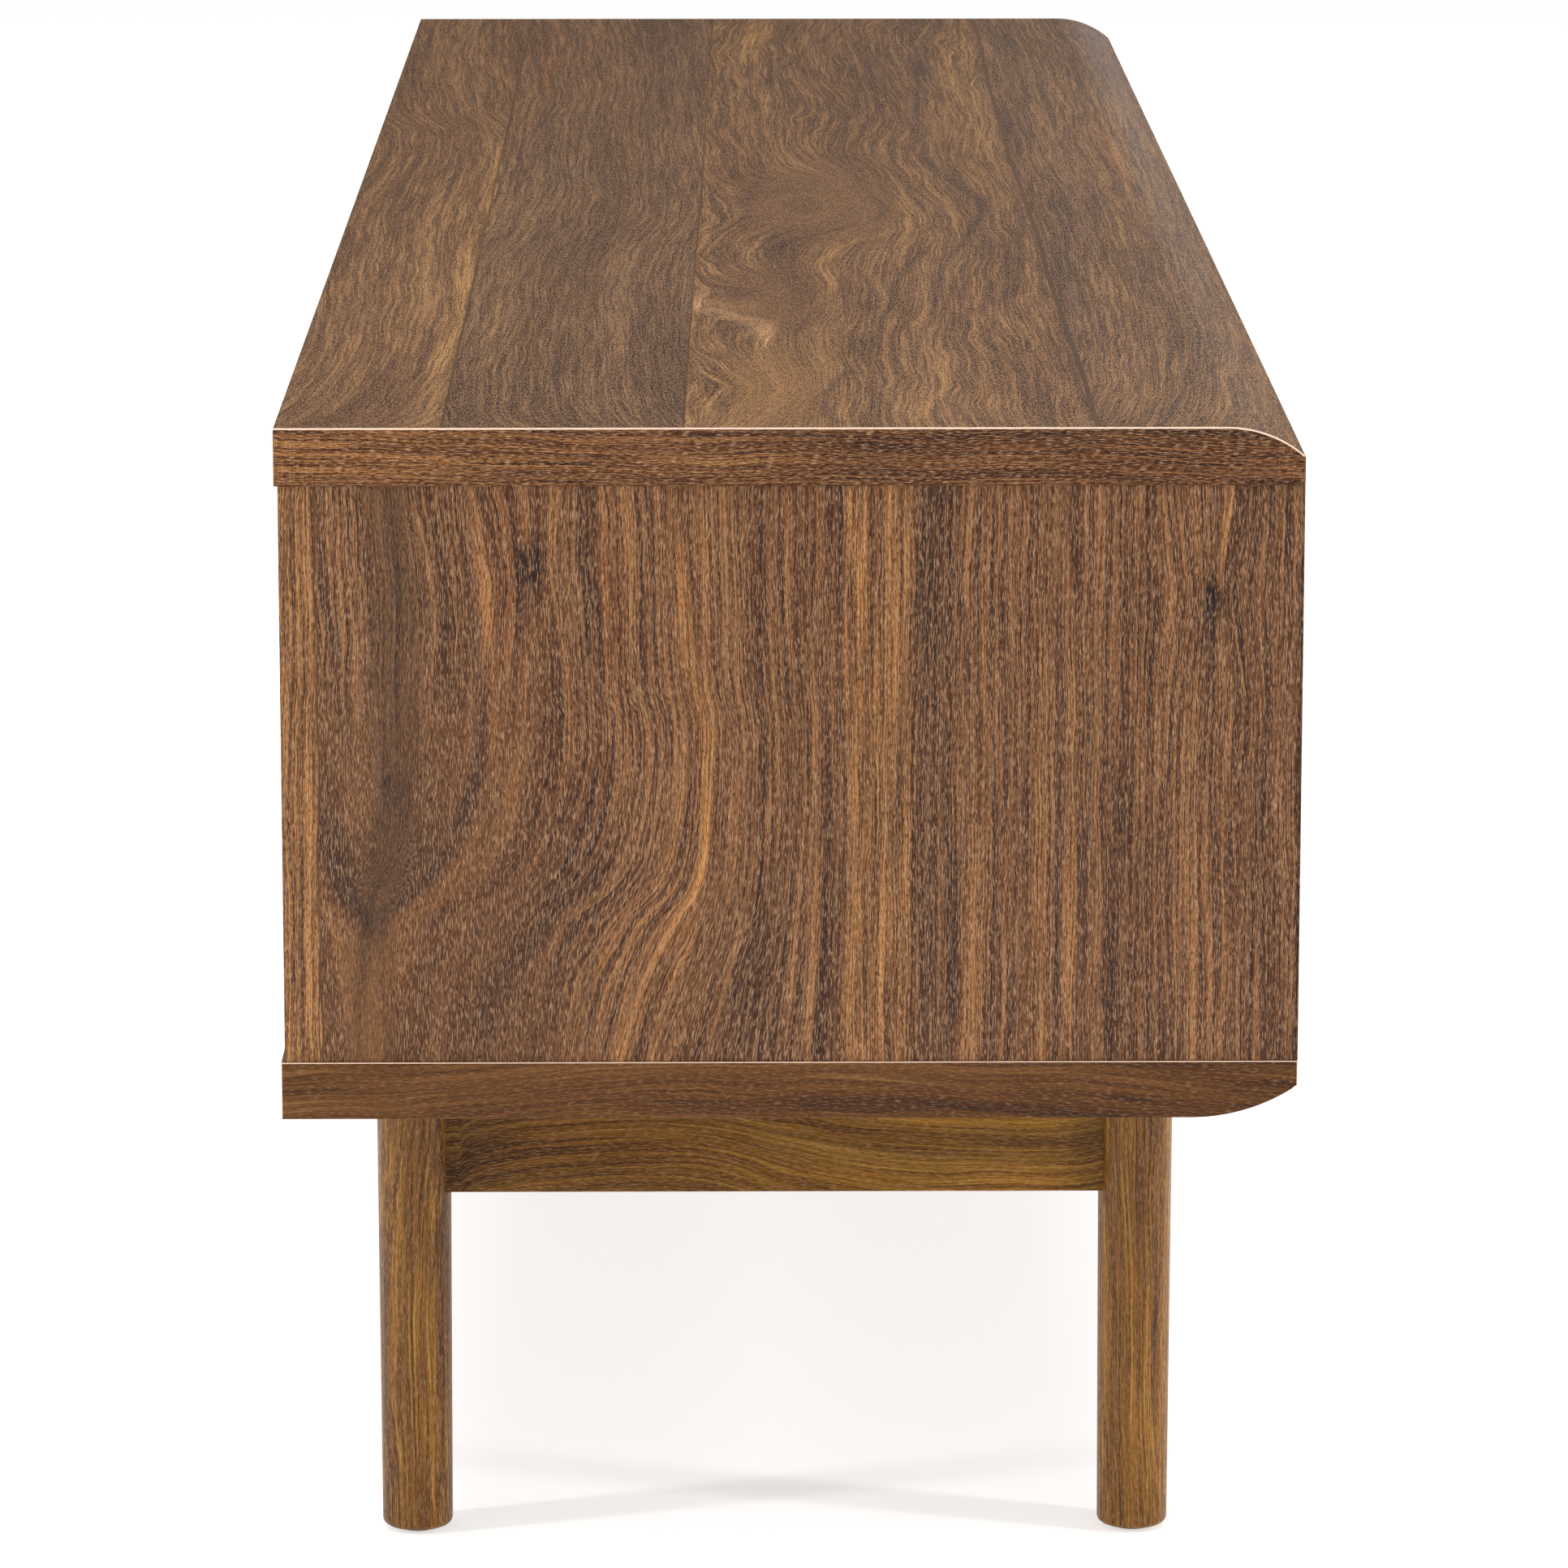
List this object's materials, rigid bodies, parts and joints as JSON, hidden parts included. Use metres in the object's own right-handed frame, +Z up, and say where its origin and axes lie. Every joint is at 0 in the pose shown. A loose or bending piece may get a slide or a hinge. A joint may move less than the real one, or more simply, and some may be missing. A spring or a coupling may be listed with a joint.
{
  "type": "media cabinet",
  "caption": "Low media cabinet: board carcass with rounded front lips, slatted sliding doors, an open middle bay, shelves, cable holes and a railed base on round legs.",
  "frame": {"origin": "on the floor, under the middle of the cabinet", "axes": "+X along the length to the right-hand end seen from the front, -Y to the front (doors), +Z up"},
  "size_m": [1.5, 0.394, 0.457],
  "materials": {
    "walnut_laminate": "satin walnut-look laminate on particle board",
    "edge_band": "satin walnut-look edge band",
    "solid_wood": "satin stained solid wood",
    "door_walnut": "satin walnut",
    "back_board": "printed hardboard",
    "beech": "raw beech",
    "track_plastic": "brown extruded plastic",
    "nylon": "moulded nylon",
    "glide_plastic": "brown moulded plastic",
    "rubber": "clear soft bumper",
    "zinc_steel": "zinc-plated steel",
    "die_cast_zinc": "die-cast zinc"
  },
  "bodies": {
    "cabinet": {"back_panel_centre": "back_board", "back_panel_left": "back_board", "back_panel_right": "back_board", "base_dowels": "beech", "bottom_end_bands": "edge_band", "bottom_panel": "walnut_laminate", "bracket_screws": "zinc_steel", "cam_bolts": "zinc_steel", "cam_locks": "die_cast_zinc", "carcass_dowels": "beech", "corner_brackets": "zinc_steel", "divider_front_bands": "edge_band", "door_bumpers": "rubber", "foot_glides": "glide_plastic", "frame_screws": "zinc_steel", "front_left_leg": "solid_wood", "front_rail": "solid_wood", "front_right_leg": "solid_wood", "hanger_bolts": "zinc_steel", "hanger_nuts": "zinc_steel", "hanger_washers": "zinc_steel", "left_divider": "walnut_laminate", "left_end_apron": "solid_wood", "left_side_panel": "walnut_laminate", "lower_track": "track_plastic", "rear_left_leg": "solid_wood", "rear_rail": "solid_wood", "rear_right_leg": "solid_wood", "right_divider": "walnut_laminate", "right_end_apron": "solid_wood", "right_side_panel": "walnut_laminate", "shelf_centre": "walnut_laminate", "shelf_front_bands": "edge_band", "shelf_left": "walnut_laminate", "shelf_pins": "zinc_steel", "shelf_right": "walnut_laminate", "side_front_bands": "edge_band", "top_end_bands": "edge_band", "top_panel": "walnut_laminate", "track_stops": "nylon", "upper_track": "track_plastic"},
    "left_door": {"left_door_board": "back_board", "left_door_bottom_rail": "door_walnut", "left_door_dowels": "beech", "left_door_glides": "nylon", "left_door_guides": "nylon", "left_door_inner_stile": "door_walnut", "left_door_outer_stile": "door_walnut", "left_door_slats": "door_walnut", "left_door_top_rail": "door_walnut"},
    "right_door": {"right_door_board": "back_board", "right_door_bottom_rail": "door_walnut", "right_door_dowels": "beech", "right_door_glides": "nylon", "right_door_guides": "nylon", "right_door_inner_stile": "door_walnut", "right_door_outer_stile": "door_walnut", "right_door_slats": "door_walnut", "right_door_top_rail": "door_walnut"}
  },
  "joints": [
    {"name": "left_door_slide", "type": "slide", "parent": "cabinet", "child": "left_door", "axis": [1, 0, 0], "range_m": [0, 0.483]},
    {"name": "right_door_slide", "type": "slide", "parent": "cabinet", "child": "right_door", "axis": [-1, 0, 0], "range_m": [0, 0.483]}
  ]
}
